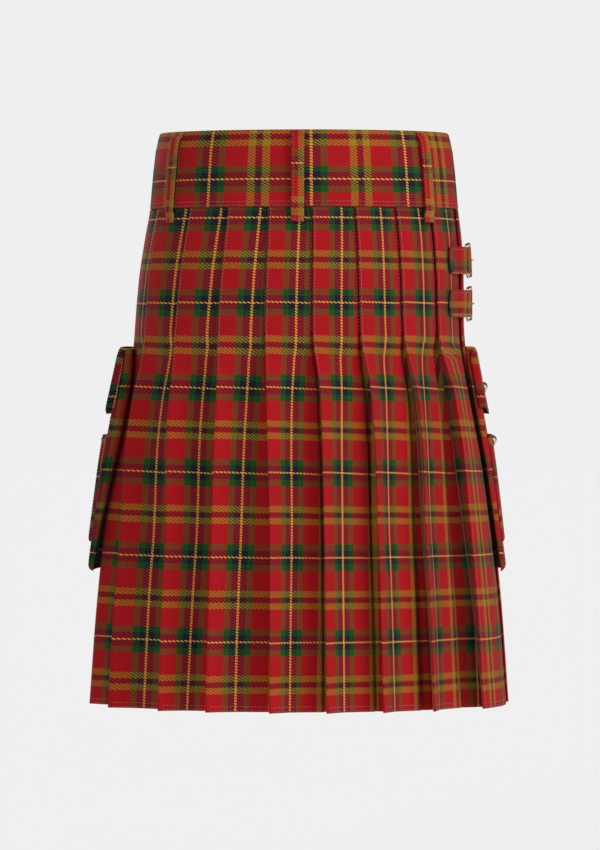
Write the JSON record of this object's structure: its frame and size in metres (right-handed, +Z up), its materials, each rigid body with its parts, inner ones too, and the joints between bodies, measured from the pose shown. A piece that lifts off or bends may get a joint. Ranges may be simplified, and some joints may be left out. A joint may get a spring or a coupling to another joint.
{
  "type": "utility kilt",
  "caption": "Knee-length wrap kilt with knife pleats sewn down over the hips, a flat front apron, belt loops, side buckles and bellows hip pockets, filled out as worn.",
  "frame": {"origin": "middle of the waist opening, half way up the waistband", "axes": "+Z up, the wearer faces -Y, +X is the wearer's left"},
  "size_m": [0.4495, 0.3597, 0.61],
  "materials": {
    "tartan_cloth": "2/2 twill tartan in red, green, navy, gold and yellow",
    "strap_cloth": "stitched double tartan cloth",
    "buckle_metal": "pale polished metal",
    "stud_metal": "pale polished metal"
  },
  "bodies": {
    "root": {"pleated_back": "tartan_cloth", "over_apron": "tartan_cloth", "under_apron": "tartan_cloth", "waistband": "tartan_cloth", "belt_loop_1": "tartan_cloth", "belt_loop_2": "tartan_cloth", "belt_loop_3": "tartan_cloth", "belt_loop_4": "tartan_cloth", "belt_loop_5": "tartan_cloth", "tab_upper": "strap_cloth", "strap_upper": "strap_cloth", "buckle_upper": "buckle_metal", "prong_upper": "buckle_metal", "tab_lower": "strap_cloth", "strap_lower": "strap_cloth", "buckle_lower": "buckle_metal", "prong_lower": "buckle_metal", "pocket_bag_left": "tartan_cloth", "pocket_flap_left": "tartan_cloth", "patch_pocket_left": "tartan_cloth", "flap_stud_left": "stud_metal", "patch_stud_left": "stud_metal", "pocket_bag_right": "tartan_cloth", "pocket_flap_right": "tartan_cloth", "patch_pocket_right": "tartan_cloth", "flap_stud_right": "stud_metal", "patch_stud_right": "stud_metal"}
  },
  "joints": []
}
